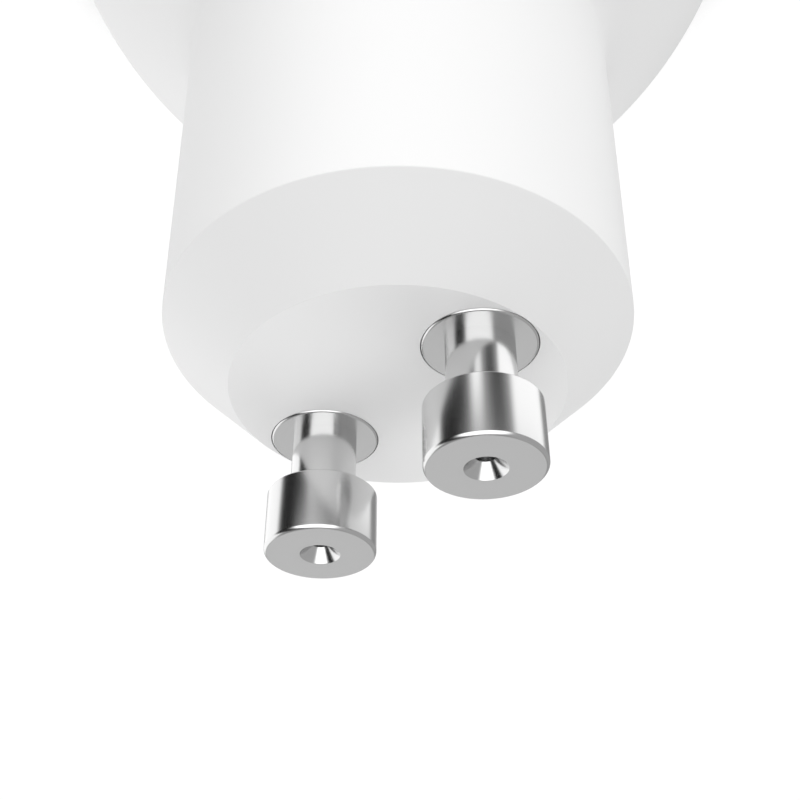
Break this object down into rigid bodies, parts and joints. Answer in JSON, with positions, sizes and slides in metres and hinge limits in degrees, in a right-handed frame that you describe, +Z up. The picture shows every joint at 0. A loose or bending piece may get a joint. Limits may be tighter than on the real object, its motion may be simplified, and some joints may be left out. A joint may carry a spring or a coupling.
{
  "type": "gu10 spotlight bulb",
  "caption": "Spotlight bulb with a white flared cup, a chamfered cap with headed twist-lock contact pins, and a clear lens plate with collimators over its emitters.",
  "frame": {"origin": "centre of the front rim's face, which the bulb stands on", "axes": "+Z up along the axis, from the front rim to the tips of the contact pins; X through both pins"},
  "size_m": [0.05, 0.05, 0.054],
  "materials": {
    "housing_white": "fine satin moulding",
    "contact_metal": "polished nickel plate on turned brass",
    "spreader_metal": "stamped, satin",
    "led_board_white": "white solder mask on an aluminium board",
    "emitter": "yellow phosphor window in a white package",
    "screw_steel": "plated",
    "lens_clear": "clear, polished",
    "driver_green": "green solder mask",
    "lead_tin": "tinned",
    "can_sleeve": "shrunk sleeve",
    "ferrite": "sintered, matt",
    "copper_wire": "enamelled copper winding",
    "film_box": "dipped",
    "chip_black": "moulded",
    "fuse_coat": "lacquered"
  },
  "bodies": {
    "root": {"housing": "housing_white", "contact_pin_left": "contact_metal", "contact_pin_right": "contact_metal", "heat_spreader": "spreader_metal", "led_board": "led_board_white", "led_1": "emitter", "led_2": "emitter", "led_3": "emitter", "led_4": "emitter", "led_5": "emitter", "led_6": "emitter", "led_7": "emitter", "board_screws": "screw_steel", "lens": "lens_clear", "driver_board": "driver_green", "pin_lead_left": "lead_tin", "pin_lead_right": "lead_tin", "led_lead_left": "lead_tin", "led_lead_right": "lead_tin", "bulk_capacitor": "can_sleeve", "inductor_core": "ferrite", "inductor_winding": "copper_wire", "film_capacitor": "film_box", "bridge_rectifier": "chip_black", "driver_chip": "chip_black", "fuse_resistor": "fuse_coat"}
  },
  "joints": []
}
